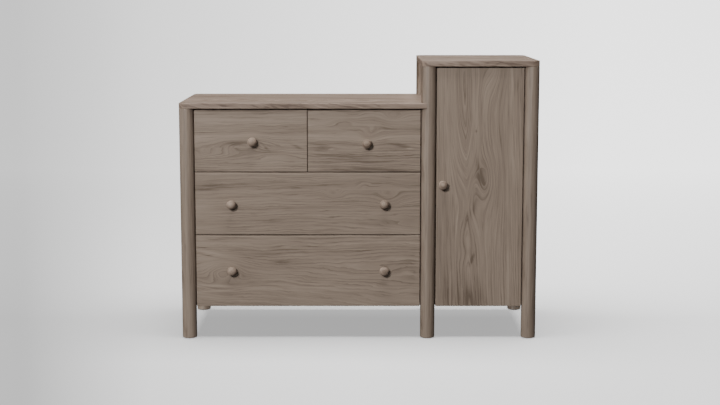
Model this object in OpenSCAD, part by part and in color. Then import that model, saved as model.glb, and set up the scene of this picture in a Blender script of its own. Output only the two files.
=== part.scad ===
// Combination dresser: a low chest of four drawers joined to a taller one-door
// cupboard. Round corner posts run from the floor to the tops and carry thin
// panels in grooves. Drawers and door are set in between the posts.
// Millimetres, +Z up, +X to the right seen from the front, +Y to the back.

/* [Overall size] */
// Width over the outer posts
body_w = 1350; // [1200:10:1500]
// Depth over the front and rear posts
body_d = 555; // [500:5:620]
// Height of the low chest
chest_h = 898; // [880:1:940]
// Height of the tall cupboard
cabinet_h = 1056; // [1000:1:1250]
// Width of the cupboard over its posts
cabinet_w = 441.5; // [400:0.5:520]
// Clear height under the case
leg_h = 124; // [60:1:160]

/* [Posts, tops and panels] */
// Diameter of the round posts
post_d = 55.5; // [48:0.5:60]
// Thickness of the low top board
chest_top_t = 20; // [16:1:28]
// Thickness of the cupboard's top board
cabinet_top_t = 21.5; // [16:0.5:28]
// Thickness of side panels, shelves, rails and bottoms
panel_t = 18; // [15:1:20]
// Thickness of the back panels
back_t = 8; // [5:0.5:12]
// Depth of the panel grooves in the posts
post_groove = 8; // [5:0.5:10]
// Width of the bevel that eases the edges of tops and posts
edge_ease = 1.2; // [0.5:0.1:3]
// Clearance of a panel in its groove and of a board round a post
fit_gap = 0.2; // [0.1:0.05:0.5]
// Thickness left where the low top feathers out in front of the centre post
scribe_lip = 1; // [0.2:0.1:2]
// Width of the cross rails
rail_w = 60; // [40:5:90]

/* [Fronts and door] */
// Thickness of drawer fronts and door
front_t = 20; // [16:1:24]
// Distance of the faces behind the front of the posts
face_setback = 14; // [8:1:20]
// Gap between fronts
front_gap = 2.5; // [2:0.5:6]
// Gap between the fronts and the top board over them
top_gap = 5.5; // [2:0.5:8]
// Gap between a drawer front and a post
drawer_side_gap = 2.5; // [2:0.5:7]
// Gap between the door and a post
door_side_gap = 2.5; // [2.5:0.5:5]
// Height of the bottom drawer front
bottom_front_h = 274; // [240:1:290]
// Height of the middle drawer front
middle_front_h = 237; // [200:1:245]
// Gap between the closed fronts and the case behind them
case_gap = 2; // [1:0.5:4]

/* [Knobs] */
// Diameter of the knob ball
knob_d = 35; // [26:1:42]
// Reach of a knob in front of its face
knob_reach = 36; // [32:1:48]
// Diameter of the knob neck
knob_neck_d = 17; // [12:1:22]
// Diameter of the dowel that holds a knob
knob_dowel_d = 10; // [6:1:12]
// Length of the knob dowel in the front
knob_dowel_l = 14; // [8:1:15]
// Distance between the two knobs of a wide drawer
wide_knob_pitch = 576; // [400:1:640]
// Sideways shift of the knobs of the wide drawers
wide_knob_shift = 0.5; // [-10:0.5:10]
// Knob height on the bottom drawer front
bottom_knob_up = 138; // [60:1:200]
// Knob height on the middle drawer front
middle_knob_up = 116; // [60:1:180]
// Knob height on the left small drawer front
left_knob_up = 113; // [60:1:180]
// Knob height on the right small drawer front
right_knob_up = 106; // [60:1:180]
// Knob place on the left small drawer, right of its middle
left_knob_shift = 6; // [-40:1:40]
// Knob place on the right small drawer, right of its middle
right_knob_shift = 10; // [-40:1:40]
// Knob height on the door
door_knob_up = 466; // [300:1:700]
// Knob distance from the free edge of the door
door_knob_in = 24; // [22:1:60]

/* [Drawer boxes] */
// Thickness of the drawer sides
side_t = 14; // [12:0.5:16]
// Thickness of the drawer backs
box_back_t = 14; // [12:0.5:16]
// Thickness of the drawer bottoms
floor_t = 6; // [4:0.5:8]
// Depth of the grooves that hold the drawer bottoms
floor_groove = 5; // [3:0.5:6]
// Height of the drawer bottom above the lower edge of the sides
floor_lift = 10; // [8:1:15]
// Clearance between a drawer box and the board under it
box_clear = 8; // [5:1:12]
// Distance of the box sides below the top edge of the front
box_drop = 45; // [38:1:60]
// Clearance between the drawer boxes and the back panel
drawer_rear_gap = 20.5; // [12:0.5:40]
// Spacing of the dovetails at the rear corners
tail_pitch = 45; // [35:1:60]
// Play in the dovetails and other glued joints
joint_play = 0.1; // [0.05:0.05:0.2]
// Depth of the sliding dovetail in a front
slot_depth = 8; // [6:0.5:9]
// Distance of the slot's stop below the top of the side
slot_stop = 15; // [8:1:30]

/* [Drawer slides] */
// Height of the slide
slide_h = 45; // [35:1:50]
// Width of the slide between case and drawer box
slide_w = 12.7; // [12.5:0.1:14]
// Thickness of the slide's sheet steel
slide_sheet = 1.5; // [1.2:0.1:1.6]
// Play between the nested slide members
slide_play = 0.4; // [0.3:0.05:0.5]
// Height of the slide's middle above the lower edge of the drawer side
slide_lift = 55; // [40:1:70]
// Length of drawer side behind the slide
slide_short = 20; // [5:1:60]
// Gap between the slide and the post beside it
slide_post_gap = 0.5; // [0.3:0.1:2]
// Height of the cleat that packs out the slide
cleat_h = 60; // [50:1:80]

/* [Cupboard fittings] */
// Distance of the door pivot from the edge of the door
pivot_in = 12; // [10:0.5:14]
// Distance of the door pivot behind the face of the door
pivot_back = 8; // [7:0.5:8.5]
// Diameter of the pivot pins
pivot_pin_d = 6; // [4:0.5:7]
// Outer diameter of the pivot bushes
pivot_bush_d = 10; // [9:0.5:12]
// Length of the pivot bushes
pivot_bush_l = 14; // [8:1:25]
// Gap between the turning corner of the door and the boards behind it
pivot_swing_gap = 1; // [0.8:0.1:3]
// Radial play of a pin in its bush
pivot_play = 0.05; // [0.02:0.01:0.1]
// Thickness of the pivot plates
pivot_plate_t = 2; // [1.5:0.1:2.5]
// Gap between the door and the pivot plate under it
pivot_gap = 0.5; // [0.3:0.1:1]
// Length of the pivot plates
pivot_plate_l = 28; // [24:1:40]
// Height of the upright flange of the bottom pivot
pivot_flange_h = 16; // [10:1:17]
// Diameter of the shelf pins
shelf_pin_d = 5; // [4:0.5:7]
// Length of the shelf pins
shelf_pin_l = 16; // [12:1:20]
// Depth of a shelf pin in the panel
shelf_pin_in = 8; // [6:0.5:10]
// Gap between a shelf and the panel beside it
shelf_side_gap = 1; // [0.5:0.25:3]
// Distance of the shelves behind the posts
shelf_front_gap = 5; // [3:1:60]
// Distance of the shelf pins from the ends of the shelf
shelf_pin_edge = 50; // [30:1:100]
// Width of the magnetic catch
catch_w = 40; // [30:1:60]
// Height of the magnetic catch
catch_h = 14; // [10:1:20]
// Depth of the magnetic catch
catch_d = 18; // [14:1:30]
// Thickness of the strike plate on the door
strike_t = 1; // [0.8:0.1:1.5]
// Gap between the closed strike plate and the catch
catch_gap = 0.3; // [0.2:0.1:0.5]
// Thickness of the glides under the posts
glide_t = 2.5; // [2:0.5:5]
// Diameter of the glides
glide_d = 42; // [30:1:46]
// Length of the glide stems
glide_stem_l = 15; // [8:1:25]
// Diameter of the glide stems
glide_stem_d = 5; // [3:0.5:8]

/* [Hidden] */
$fn = 96;
cut = 1;
post_r = post_d / 2;
knob_r = knob_d / 2;

// Depth places, counted so that the middle of the whole object lies on y = 0
knob_out = knob_reach - face_setback;
front_y = -(body_d - knob_out) / 2;
face_y = front_y + face_setback;
fronts_back_y = face_y + front_t;
case_y = fronts_back_y + case_gap;
pivot_y = face_y + pivot_back;
pivot_swing_r = sqrt(pow(pivot_in, 2) + pow(front_t - pivot_back, 2));
cabinet_case_y = pivot_y + pivot_swing_r + pivot_swing_gap;
front_post_y = front_y + post_r;
rear_post_y = front_y + body_d - post_r;
back_y = rear_post_y - back_t / 2;

// Sideways places
left_post_x = -body_w / 2 + post_r;
right_post_x = body_w / 2 - post_r;
centre_post_x = body_w / 2 - cabinet_w + post_r;
chest_in_x0 = left_post_x + panel_t / 2;
chest_in_x1 = centre_post_x - panel_t / 2;
cabinet_in_x0 = centre_post_x + panel_t / 2;
cabinet_in_x1 = right_post_x - panel_t / 2;
chest_clear_x0 = left_post_x + post_r;
chest_clear_x1 = centre_post_x - post_r;
chest_mid_x = (chest_clear_x0 + chest_clear_x1) / 2;
divider_x0 = chest_mid_x - panel_t / 2;
divider_x1 = chest_mid_x + panel_t / 2;
cleat_t = post_r - panel_t / 2 + slide_post_gap;
door_x0 = centre_post_x + post_r + door_side_gap;
door_x1 = right_post_x - post_r - door_side_gap;

// Heights
post_z = glide_t;
case_z = leg_h;
floor_top_z = case_z + panel_t;
chest_under_z = chest_h - chest_top_t;
cabinet_under_z = cabinet_h - cabinet_top_t;
middle_front_z = leg_h + bottom_front_h + front_gap;
top_front_z = middle_front_z + middle_front_h + front_gap;
chest_fronts_top_z = chest_under_z - top_gap;
middle_rail_z = middle_front_z - front_gap / 2 - panel_t / 2;
divider_shelf_z = top_front_z - front_gap / 2 - panel_t / 2;
top_rail_z = chest_under_z - panel_t;
cabinet_rail_z = cabinet_under_z - panel_t;
door_top_z = cabinet_under_z - top_gap;

// Drawer boxes run from the back of the front to a clearance before the back panel
box_l = back_y - drawer_rear_gap - fronts_back_y;
slide_l = box_l - slide_short;
floor_top = floor_lift + floor_t;
tail_taper = 2;
slot_neck = side_t - 5;
slot_flare = 1.2;

// One drawer: front left, right, bottom, top; box left, right, bottom
SMALL_LEFT = [
    chest_clear_x0 + drawer_side_gap, chest_mid_x - front_gap / 2,
    top_front_z, chest_fronts_top_z,
    chest_in_x0 + cleat_t + slide_w, divider_x0 - slide_w,
    divider_shelf_z + panel_t + box_clear
];
SMALL_RIGHT = [
    chest_mid_x + front_gap / 2, chest_clear_x1 - drawer_side_gap,
    top_front_z, chest_fronts_top_z,
    divider_x1 + slide_w, chest_in_x1 - cleat_t - slide_w,
    divider_shelf_z + panel_t + box_clear
];
MIDDLE = [
    chest_clear_x0 + drawer_side_gap, chest_clear_x1 - drawer_side_gap,
    middle_front_z, middle_front_z + middle_front_h,
    chest_in_x0 + cleat_t + slide_w, chest_in_x1 - cleat_t - slide_w,
    middle_rail_z + panel_t + box_clear
];
BOTTOM = [
    chest_clear_x0 + drawer_side_gap, chest_clear_x1 - drawer_side_gap,
    leg_h, leg_h + bottom_front_h,
    chest_in_x0 + cleat_t + slide_w, chest_in_x1 - cleat_t - slide_w,
    floor_top_z + box_clear
];
DRAWERS = [SMALL_LEFT, SMALL_RIGHT, MIDDLE, BOTTOM];

function front_x0(d) = d[0];
function front_x1(d) = d[1];
function front_z0(d) = d[2];
function front_z1(d) = d[3];
function box_x0(d) = d[4];
function box_x1(d) = d[5];
function box_z0(d) = d[6];
function box_h(d) = front_z1(d) - box_drop - box_z0(d);
function slide_z(d) = box_z0(d) + slide_lift;

// Knob places on each drawer, as [x, z]
function single_knob(d, shift, up) = [[(front_x0(d) + front_x1(d)) / 2 + shift, front_z0(d) + up]];
function pair_knobs(d, up) = [
    for (side = [-1, 1])
        [(front_x0(d) + front_x1(d)) / 2 + wide_knob_shift + side * wide_knob_pitch / 2, front_z0(d) + up]
];
SMALL_LEFT_KNOBS = single_knob(SMALL_LEFT, left_knob_shift, left_knob_up);
SMALL_RIGHT_KNOBS = single_knob(SMALL_RIGHT, right_knob_shift, right_knob_up);
MIDDLE_KNOBS = pair_knobs(MIDDLE, middle_knob_up);
BOTTOM_KNOBS = pair_knobs(BOTTOM, bottom_knob_up);
DOOR_KNOBS = [[door_x0 + door_knob_in, leg_h + door_knob_up]];

// Door pivot, cupboard shelves and catch
pivot_x = door_x1 - pivot_in;
pivot_tongue_r = pivot_back - 2;
pivot_tongue_z = leg_h - pivot_gap - pivot_plate_t;
shelf_bay = (cabinet_rail_z - floor_top_z - 2 * panel_t) / 3;
lower_shelf_z = floor_top_z + shelf_bay;
upper_shelf_z = lower_shelf_z + panel_t + shelf_bay;
shelf_y0 = front_post_y + post_r + shelf_front_gap;
shelf_y1 = rear_post_y - post_r - shelf_front_gap;
SHELF_PIN_YS = [shelf_y0 + shelf_pin_edge, shelf_y1 - shelf_pin_edge];
catch_x0 = door_x0 + 12;
catch_z0 = cabinet_rail_z - catch_h;
strike_edge = 2;

oak = "#8d8073";
oak_light = "#9d9185";
oak_dark = "#7d7165";
birch = "#b9a78c";
steel = "#b4b6b8";
nylon = "#e8e6e0";

// Box given by its low and high corners
module span(lo, hi) {
    translate(lo) cube(hi - lo);
}

// Upright round stick with bevelled ends
module turned_stick(d, z0, z1, ease) {
    r = d / 2;
    rotate_extrude()
        polygon([
            [0, z0], [r - ease, z0], [r, z0 + ease],
            [r, z1 - ease], [r - ease, z1], [0, z1]
        ]);
}

// Groove along a post, opening in the direction of the given angle
module post_slot(angle, width, z0, z1) {
    rotate([0, 0, angle])
        translate([post_r - post_groove, -width / 2, z0])
            cube([post_groove + cut, width, z1 - z0 + cut]);
}

// Post on the floor or under the case, with its panel grooves
module post(x, y, z0, z1, side_angle, back_angles) {
    color(oak)
        translate([x, y, 0])
            difference() {
                turned_stick(post_d, z0, z1, edge_ease);
                post_slot(side_angle, panel_t + 2 * fit_gap, case_z, z1);
                for (angle = back_angles)
                    post_slot(angle, back_t + 2 * fit_gap, case_z, z1);
                if (z0 == post_z)
                    translate([0, 0, z0 - cut])
                        cylinder(d = glide_stem_d + 2 * joint_play, h = glide_stem_l + cut);
            }
}

module front_left_post() { post(left_post_x, front_post_y, post_z, chest_under_z, 90, []); }

module front_centre_post() { post(centre_post_x, front_post_y, post_z, cabinet_under_z, 90, []); }

module front_right_post() { post(right_post_x, front_post_y, post_z, cabinet_under_z, 90, []); }

module rear_left_post() { post(left_post_x, rear_post_y, post_z, chest_under_z, -90, [0]); }

// This post stands on nothing: it ends with the case and hangs in its panels
module rear_centre_post() { post(centre_post_x, rear_post_y, case_z, cabinet_under_z, -90, [0, 180]); }

module rear_right_post() { post(right_post_x, rear_post_y, post_z, cabinet_under_z, -90, [180]); }

// Outline of a board's cross-section with eased edges, from a to b and t thick
module eased_section(a, b, t) {
    e = edge_ease;
    polygon([
        [a + e, 0], [b - e, 0], [b, e], [b, t - e],
        [b - e, t], [a + e, t], [a, t - e], [a, e]
    ]);
}

// Top board, round where it lies on the posts at corner_xs, with its straight edges run to end_x
module top_board(corner_xs, end_x, t) {
    for (x = corner_xs, y = [front_post_y, rear_post_y])
        translate([x, y, 0])
            turned_stick(post_d, 0, t, edge_ease);
    translate([min(corner_xs), 0, 0])
        rotate([90, 0, 90])
            linear_extrude(end_x - min(corner_xs))
                eased_section(front_y, front_y + body_d, t);
    translate([0, rear_post_y, 0])
        rotate([90, 0, 0])
            linear_extrude(rear_post_y - front_post_y)
                eased_section(min(corner_xs) - post_r, max(corner_xs) + post_r, t);
}

// The low top butts against the partition, is scribed round the centre posts and feathers out
module chest_top() {
    lip_half = sqrt(pow(post_r + fit_gap, 2) - pow(post_r - scribe_lip, 2));
    color(oak_light)
        translate([0, 0, chest_under_z])
            difference() {
                top_board([left_post_x], centre_post_x - lip_half, chest_top_t);
                translate([chest_in_x1 - fit_gap, front_post_y, -cut])
                    cube([post_d, rear_post_y - front_post_y, chest_top_t + 2 * cut]);
                for (y = [front_post_y, rear_post_y])
                    translate([centre_post_x, y, -cut])
                        cylinder(r = post_r + fit_gap, h = chest_top_t + 2 * cut);
            }
}

module cabinet_top() {
    color(oak_light)
        translate([0, 0, cabinet_under_z])
            top_board([centre_post_x, right_post_x], right_post_x, cabinet_top_t);
}

// Panel between a front and a rear post, held in their grooves
module side_panel(x, z1) {
    y0 = front_post_y + post_r - post_groove + fit_gap;
    y1 = rear_post_y - post_r + post_groove - fit_gap;
    span([x - panel_t / 2, y0, case_z], [x + panel_t / 2, y1, z1]);
}

// Holes for the shelf pins, drilled into the panel in the direction dir
module shelf_pin_holes(x, dir) {
    for (z = [lower_shelf_z, upper_shelf_z], y = SHELF_PIN_YS)
        translate([x - dir * cut, y, z - shelf_pin_d / 2])
            rotate([0, 90 * dir, 0])
                cylinder(d = shelf_pin_d + 2 * joint_play, h = shelf_pin_in + joint_play + cut);
}

module left_side_panel() {
    color(oak)
        side_panel(left_post_x, chest_under_z);
}

module centre_partition() {
    color(oak)
        difference() {
            side_panel(centre_post_x, cabinet_under_z);
            shelf_pin_holes(cabinet_in_x0, -1);
        }
}

module right_side_panel() {
    color(oak)
        difference() {
            side_panel(right_post_x, cabinet_under_z);
            shelf_pin_holes(cabinet_in_x1, 1);
        }
}

// Back panel in the grooves of two rear posts
module back_panel(left_x, right_x, z1) {
    reach = post_r - post_groove + fit_gap;
    color(oak_dark)
        span([left_x + reach, back_y, case_z], [right_x - reach, back_y + back_t, z1]);
}

module chest_back_panel() { back_panel(left_post_x, centre_post_x, chest_under_z); }

module cabinet_back_panel() { back_panel(centre_post_x, right_post_x, cabinet_under_z); }

// Level board of the case, scribed round the posts that it meets
module case_board(x0, x1, y0, y1, z) {
    difference() {
        span([x0, y0, z], [x1, y1, z + panel_t]);
        for (x = [left_post_x, centre_post_x, right_post_x], y = [front_post_y, rear_post_y])
            translate([x, y, z - cut])
                cylinder(r = post_r + fit_gap, h = panel_t + 2 * cut);
    }
}

module chest_bottom_panel() {
    color(oak_dark)
        case_board(chest_in_x0, chest_in_x1, case_y, back_y, case_z);
}

// The bottom board is let in for the flange of the bottom pivot
module cabinet_bottom_panel() {
    color(oak_dark)
        difference() {
            case_board(cabinet_in_x0, cabinet_in_x1, cabinet_case_y, back_y, case_z);
            translate([
                pivot_x - pivot_plate_l + pivot_tongue_r - joint_play,
                cabinet_case_y - cut,
                case_z - cut
            ])
                cube([
                    pivot_plate_l + 2 * joint_play,
                    pivot_plate_t + joint_play + cut,
                    pivot_flange_h + pivot_tongue_z + joint_play - case_z + cut
                ]);
        }
}

module drawer_divider_shelf() {
    color(oak_dark)
        case_board(chest_in_x0, chest_in_x1, case_y, back_y, divider_shelf_z);
}

module small_drawer_divider() {
    color(oak_dark)
        span([divider_x0, case_y, divider_shelf_z + panel_t], [divider_x1, back_y, top_rail_z]);
}

// Front and rear rails under the low top, and the rail between the wide drawers
module chest_cross_rails() {
    color(oak_dark) {
        case_board(chest_in_x0, chest_in_x1, case_y, case_y + rail_w, top_rail_z);
        case_board(chest_in_x0, chest_in_x1, back_y - rail_w, back_y, top_rail_z);
        case_board(chest_in_x0, chest_in_x1, case_y, case_y + rail_w, middle_rail_z);
    }
}

module cabinet_top_rail() {
    color(oak_dark)
        case_board(cabinet_in_x0, cabinet_in_x1, cabinet_case_y, cabinet_case_y + rail_w, cabinet_rail_z);
}

// Loose shelf, resting on four pins
module cabinet_shelf(z) {
    color(oak_dark)
        span(
            [cabinet_in_x0 + shelf_side_gap, shelf_y0, z],
            [cabinet_in_x1 - shelf_side_gap, shelf_y1, z + panel_t]
        );
}

module cabinet_lower_shelf() { cabinet_shelf(lower_shelf_z); }

module cabinet_upper_shelf() { cabinet_shelf(upper_shelf_z); }

// One shelf pin: a round stud with a collar against the panel
module shelf_pin(dir) {
    collar_t = 1;
    rotate([0, 90 * dir, 0]) {
        cylinder(d = shelf_pin_d, h = shelf_pin_in);
        translate([0, 0, shelf_pin_in - shelf_pin_l])
            cylinder(d = shelf_pin_d, h = shelf_pin_l - shelf_pin_in);
        translate([0, 0, -collar_t])
            intersection() {
                cylinder(d = shelf_pin_d + 3, h = collar_t);
                translate([0, -shelf_pin_d, -cut])
                    cube([2 * shelf_pin_d, 2 * shelf_pin_d, collar_t + 2 * cut]);
            }
    }
}

module shelf_pins() {
    color(steel)
        for (z = [lower_shelf_z, upper_shelf_z], y = SHELF_PIN_YS) {
            translate([cabinet_in_x0, y, z - shelf_pin_d / 2]) shelf_pin(-1);
            translate([cabinet_in_x1, y, z - shelf_pin_d / 2]) shelf_pin(1);
        }
}

// Cleats that bring the slides out to the line of the posts
module slide_cleats() {
    y0 = front_post_y + post_r + 1;
    y1 = rear_post_y - post_r - 1;
    color(oak_dark)
        for (d = [SMALL_LEFT, MIDDLE, BOTTOM]) {
            z0 = slide_z(d) - cleat_h / 2;
            z1 = slide_z(d) + cleat_h / 2;
            span([chest_in_x0, y0, z0], [chest_in_x0 + cleat_t, y1, z1]);
            span([chest_in_x1 - cleat_t, y0, z0], [chest_in_x1, y1, z1]);
        }
}

// Channel section of a slide member: web from x0, lips to x1, over the given height
module channel(web_x, lip_x, height) {
    s = slide_sheet;
    dir = lip_x > web_x ? 1 : -1;
    rotate([90, 0, 180])
        mirror([1, 0, 0])
            linear_extrude(slide_l)
                polygon([
                    [web_x, -height / 2], [lip_x, -height / 2], [lip_x, s - height / 2],
                    [web_x + dir * s, s - height / 2], [web_x + dir * s, height / 2 - s],
                    [lip_x, height / 2 - s], [lip_x, height / 2], [web_x, height / 2]
                ]);
}

// Heights of the three nested members and how far their lips reach
middle_member_h = slide_h - 2 * slide_sheet - 2 * slide_play;
inner_member_h = middle_member_h - 2 * slide_sheet - 2 * slide_play;
middle_web_x = slide_sheet + slide_play;
middle_lip_x = slide_w - slide_sheet - slide_play;
inner_lip_x = middle_web_x + slide_sheet + slide_play;
outer_lip_x = slide_w - 3;

// A member on both sides of a drawer; what shows for the left side is mirrored for the right
module slide_pair(d) {
    translate([box_x0(d) - slide_w, case_y, slide_z(d)])
        children();
    translate([box_x1(d) + slide_w, case_y, slide_z(d)])
        mirror([1, 0, 0])
            children();
}

module case_slide_members() {
    color(steel)
        for (d = DRAWERS)
            slide_pair(d)
                channel(0, outer_lip_x, slide_h);
}

module slide_middles(d) {
    color(steel)
        slide_pair(d)
            channel(middle_web_x, middle_lip_x, middle_member_h);
}

module drawer_runners(d) {
    color(steel)
        slide_pair(d)
            channel(slide_w, inner_lip_x, inner_member_h);
}

module small_left_slide_middles() { slide_middles(SMALL_LEFT); }

module small_right_slide_middles() { slide_middles(SMALL_RIGHT); }

module middle_slide_middles() { slide_middles(MIDDLE); }

module bottom_slide_middles() { slide_middles(BOTTOM); }

module small_left_drawer_runners() { drawer_runners(SMALL_LEFT); }

module small_right_drawer_runners() { drawer_runners(SMALL_RIGHT); }

module middle_drawer_runners() { drawer_runners(MIDDLE); }

module bottom_drawer_runners() { drawer_runners(BOTTOM); }

// Flat front with its four face edges bevelled
module eased_front(x0, x1, z0, z1) {
    e = edge_ease;
    y0 = face_y;
    y1 = fronts_back_y;
    intersection() {
        translate([0, 0, z0])
            linear_extrude(z1 - z0)
                polygon([[x0, y0 + e], [x0 + e, y0], [x1 - e, y0], [x1, y0 + e], [x1, y1], [x0, y1]]);
        translate([x0, 0, 0])
            rotate([90, 0, 90])
                linear_extrude(x1 - x0)
                    polygon([[y0 + e, z0], [y1, z0], [y1, z1], [y0 + e, z1], [y0, z1 - e], [y0, z0 + e]]);
    }
}

// Blind holes for the knob dowels
module knob_holes(places) {
    for (p = places)
        translate([p[0], face_y - cut, p[1]])
            rotate([-90, 0, 0])
                cylinder(d = knob_dowel_d + 2 * joint_play, h = knob_dowel_l + joint_play + cut);
}

// Plan of the dovetail at the front end of a drawer side, centred on x = 0
module slot_plan(play) {
    half = slot_neck / 2 + play;
    deep = slot_depth - joint_play + play;
    polygon([
        [-half, cut], [half, cut], [half, 0],
        [half + slot_flare, -deep], [-half - slot_flare, -deep], [-half, 0]
    ]);
}

// Front with dowel holes, stopped dovetail slots for the sides and a groove for the bottom
module drawer_front(d, knobs) {
    color(oak)
        difference() {
            eased_front(front_x0(d), front_x1(d), front_z0(d), front_z1(d));
            knob_holes(knobs);
            for (x = [box_x0(d) + side_t / 2, box_x1(d) - side_t / 2])
                translate([x, fronts_back_y, front_z0(d) - cut])
                    linear_extrude(box_z0(d) + box_h(d) - slot_stop + joint_play - front_z0(d) + cut)
                        slot_plan(joint_play);
            translate([box_x0(d) + side_t / 2, fronts_back_y - floor_groove - joint_play,
                box_z0(d) + floor_lift - joint_play])
                cube([
                    box_x1(d) - box_x0(d) - side_t,
                    floor_groove + joint_play + cut,
                    floor_t + 2 * joint_play
                ]);
        }
}

// Side view of the rear dovetails: wider at the end than at the root
module tails(d, play) {
    high = box_h(d) - floor_top;
    count = floor(high / tail_pitch);
    pitch = high / count;
    wide = pitch * 0.62 / 2 + play;
    narrow = wide - tail_taper;
    for (i = [0 : count - 1]) {
        z = floor_top + (i + 0.5) * pitch;
        polygon([
            [box_l - box_back_t - cut, z - narrow], [box_l - box_back_t, z - narrow],
            [box_l + play, z - wide], [box_l + play, z + wide],
            [box_l - box_back_t, z + narrow], [box_l - box_back_t - cut, z + narrow]
        ]);
    }
}

// Drawer side seen from its outer face, extruded inwards
module side_blank(d) {
    rotate([90, 0, 90])
        linear_extrude(side_t)
            union() {
                square([box_l - box_back_t, box_h(d)]);
                square([box_l, floor_top]);
                tails(d, 0);
            }
}

module drawer_side(d, x0, inner_dir) {
    groove_x = inner_dir > 0 ? x0 + side_t - floor_groove - joint_play : x0 - cut;
    difference() {
        union() {
            translate([x0, fronts_back_y, box_z0(d)])
                side_blank(d);
            translate([x0 + side_t / 2, fronts_back_y, box_z0(d)])
                linear_extrude(box_h(d) - slot_stop)
                    slot_plan(0);
        }
        translate([groove_x, fronts_back_y - slot_depth - cut, box_z0(d) + floor_lift - joint_play])
            cube([
                floor_groove + joint_play + cut,
                box_l + slot_depth + 2 * cut,
                floor_t + 2 * joint_play
            ]);
    }
}

module drawer_sides(d) {
    color(birch) {
        drawer_side(d, box_x0(d), 1);
        drawer_side(d, box_x1(d) - side_t, -1);
    }
}

// Back with sockets at both ends; it stands on the bottom, which slides in under it
module drawer_back(d) {
    color(birch)
        difference() {
            span(
                [box_x0(d), fronts_back_y + box_l - box_back_t, box_z0(d) + floor_top + joint_play],
                [box_x1(d), fronts_back_y + box_l, box_z0(d) + box_h(d)]
            );
            for (x = [box_x0(d) - cut, box_x1(d) - side_t - joint_play])
                translate([x, fronts_back_y, box_z0(d)])
                    rotate([90, 0, 90])
                        linear_extrude(side_t + joint_play + cut)
                            tails(d, joint_play);
        }
}

module drawer_bottom(d) {
    reach = side_t - floor_groove;
    color(birch)
        span(
            [box_x0(d) + reach, fronts_back_y - floor_groove, box_z0(d) + floor_lift],
            [box_x1(d) - reach, fronts_back_y + box_l, box_z0(d) + floor_top]
        );
}

// Turned knob: a ball on a waisted neck, with a dowel behind
module knob(place) {
    ball_c = knob_reach - knob_r;
    waist_r = 4;
    translate([place[0], face_y, place[1]])
        rotate([90, 0, 0]) {
            translate([0, 0, ball_c])
                sphere(r = knob_r);
            difference() {
                cylinder(d = knob_neck_d, h = ball_c);
                translate([0, 0, waist_r + 0.5])
                    rotate_extrude()
                        translate([knob_neck_d / 2 + waist_r * 0.55, 0])
                            circle(r = waist_r);
            }
            translate([0, 0, -knob_dowel_l])
                cylinder(d = knob_dowel_d, h = knob_dowel_l + cut);
        }
}

module knobs(places) {
    color(oak_light)
        for (p = places)
            knob(p);
}

module small_left_drawer_front() { drawer_front(SMALL_LEFT, SMALL_LEFT_KNOBS); }

module small_left_drawer_sides() { drawer_sides(SMALL_LEFT); }

module small_left_drawer_back() { drawer_back(SMALL_LEFT); }

module small_left_drawer_bottom() { drawer_bottom(SMALL_LEFT); }

module small_left_drawer_knob() { knobs(SMALL_LEFT_KNOBS); }

module small_right_drawer_front() { drawer_front(SMALL_RIGHT, SMALL_RIGHT_KNOBS); }

module small_right_drawer_sides() { drawer_sides(SMALL_RIGHT); }

module small_right_drawer_back() { drawer_back(SMALL_RIGHT); }

module small_right_drawer_bottom() { drawer_bottom(SMALL_RIGHT); }

module small_right_drawer_knob() { knobs(SMALL_RIGHT_KNOBS); }

module middle_drawer_front() { drawer_front(MIDDLE, MIDDLE_KNOBS); }

module middle_drawer_sides() { drawer_sides(MIDDLE); }

module middle_drawer_back() { drawer_back(MIDDLE); }

module middle_drawer_bottom() { drawer_bottom(MIDDLE); }

module middle_drawer_knobs() { knobs(MIDDLE_KNOBS); }

module bottom_drawer_front() { drawer_front(BOTTOM, BOTTOM_KNOBS); }

module bottom_drawer_sides() { drawer_sides(BOTTOM); }

module bottom_drawer_back() { drawer_back(BOTTOM); }

module bottom_drawer_bottom() { drawer_bottom(BOTTOM); }

module bottom_drawer_knobs() { knobs(BOTTOM_KNOBS); }

// Door, drilled in its top and bottom edges for the pivot bushes
module door_panel() {
    color(oak)
        difference() {
            eased_front(door_x0, door_x1, leg_h, door_top_z);
            knob_holes(DOOR_KNOBS);
            for (z = [leg_h - cut, door_top_z - pivot_bush_l])
                translate([pivot_x, pivot_y, z])
                    cylinder(d = pivot_bush_d + 2 * joint_play, h = pivot_bush_l + cut);
        }
}

module door_knob() { knobs(DOOR_KNOBS); }

// Bushes let in flush with the top and bottom edges of the door
module door_pivot_bushes() {
    color("#c9a24a")
        for (z = [leg_h, door_top_z - pivot_bush_l + joint_play])
            translate([pivot_x, pivot_y, z])
                difference() {
                    cylinder(d = pivot_bush_d, h = pivot_bush_l - joint_play);
                    translate([0, 0, -cut])
                        cylinder(d = pivot_pin_d + 2 * pivot_play, h = pivot_bush_l + 2 * cut);
                }
}

// Plate under the cupboard top, with its pin reaching down into the door
module top_pivot() {
    half = pivot_tongue_r;
    color(steel)
        translate([pivot_x, pivot_y, 0]) {
            translate([0, 0, cabinet_under_z - pivot_plate_t]) {
                cylinder(r = half, h = pivot_plate_t);
                translate([half - pivot_plate_l, -half, 0])
                    cube([pivot_plate_l - half, 2 * half, pivot_plate_t]);
            }
            translate([0, 0, door_top_z - pivot_bush_l + 2])
                cylinder(d = pivot_pin_d, h = cabinet_under_z - door_top_z + pivot_bush_l - 2);
        }
}

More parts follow.
